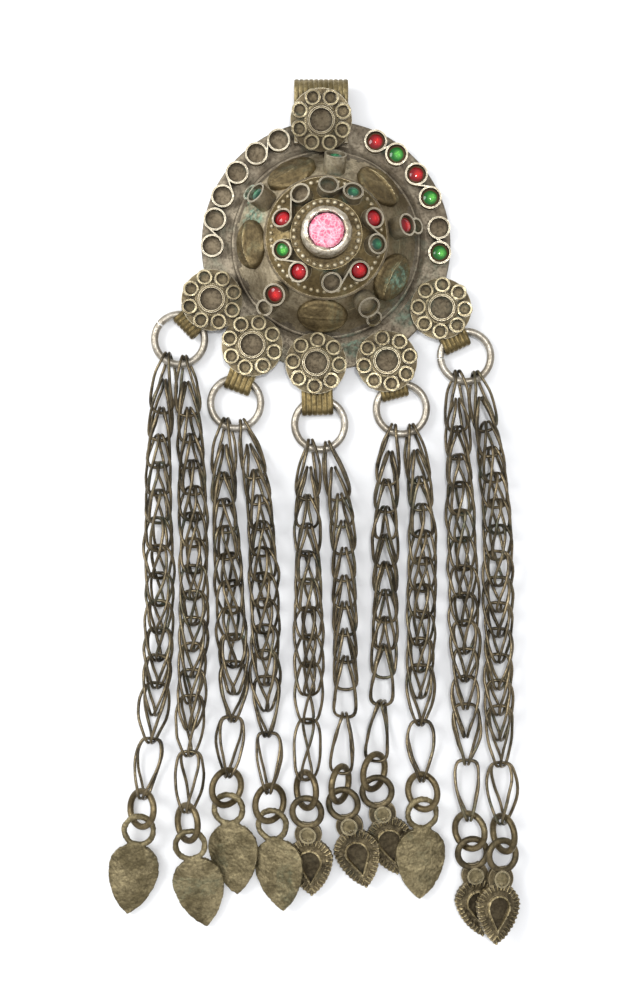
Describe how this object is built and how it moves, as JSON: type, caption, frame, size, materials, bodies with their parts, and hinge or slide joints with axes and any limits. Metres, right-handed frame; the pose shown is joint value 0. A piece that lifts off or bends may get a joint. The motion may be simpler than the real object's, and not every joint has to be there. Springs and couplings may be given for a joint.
{
  "type": "domed tassel pendant",
  "caption": "Round domed pendant with set stones, a ribbed hanging bail and long loop-in-loop chains that end in rings and cast leaf drops.",
  "frame": {"origin": "centre of the base plate's back face", "axes": "+Z out of the dome, away from the surface it lies on; +Y from the plate's centre to the hanging bail; the chains run to -Y"},
  "size_m": [0.1002, 0.2088, 0.0205],
  "materials": {
    "patinated_brass": "worn satin with brown patina",
    "foiled_glass": "gloss over crackled foil",
    "red_glass": "gloss",
    "green_glass": "gloss",
    "nickel_wire": "satin nickel silver",
    "chain_wire": "dark bronze with worn highlights",
    "olive_brass": "pitted olive brass",
    "dark_brass": "dark cast brass with bright wire edges"
  },
  "bodies": {
    "root": {"body": "patinated_brass", "centre_stone": "foiled_glass", "chain_1": "chain_wire", "chain_10": "chain_wire", "chain_2": "chain_wire", "chain_3": "chain_wire", "chain_4": "chain_wire", "chain_5": "chain_wire", "chain_6": "chain_wire", "chain_7": "chain_wire", "chain_8": "chain_wire", "chain_9": "chain_wire", "collar_stone_1_green": "green_glass", "collar_stone_2_red": "red_glass", "collar_stone_3_green": "green_glass", "collar_stone_4_red": "red_glass", "collar_stone_5_red": "red_glass", "collar_stone_6_green": "green_glass", "collar_stone_7_red": "red_glass", "dome_stone_1_green": "green_glass", "dome_stone_2_red": "red_glass", "dome_stone_3_red": "red_glass", "dome_stone_4_green": "green_glass", "drop_1": "olive_brass", "drop_10": "dark_brass", "drop_2": "olive_brass", "drop_3": "olive_brass", "drop_4": "olive_brass", "drop_5": "dark_brass", "drop_6": "dark_brass", "drop_7": "dark_brass", "drop_8": "olive_brass", "drop_9": "dark_brass", "jump_ring_1": "nickel_wire", "jump_ring_2": "nickel_wire", "jump_ring_3": "nickel_wire", "jump_ring_4": "nickel_wire", "jump_ring_5": "nickel_wire", "rim_stone_1_red": "red_glass", "rim_stone_2_green": "green_glass", "rim_stone_3_red": "red_glass", "rim_stone_4_green": "green_glass", "rim_stone_5_green": "green_glass", "small_ring_1": "olive_brass", "small_ring_10": "olive_brass", "small_ring_2": "olive_brass", "small_ring_3": "olive_brass", "small_ring_4": "olive_brass", "small_ring_5": "olive_brass", "small_ring_6": "olive_brass", "small_ring_7": "olive_brass", "small_ring_8": "olive_brass", "small_ring_9": "olive_brass"}
  },
  "joints": []
}
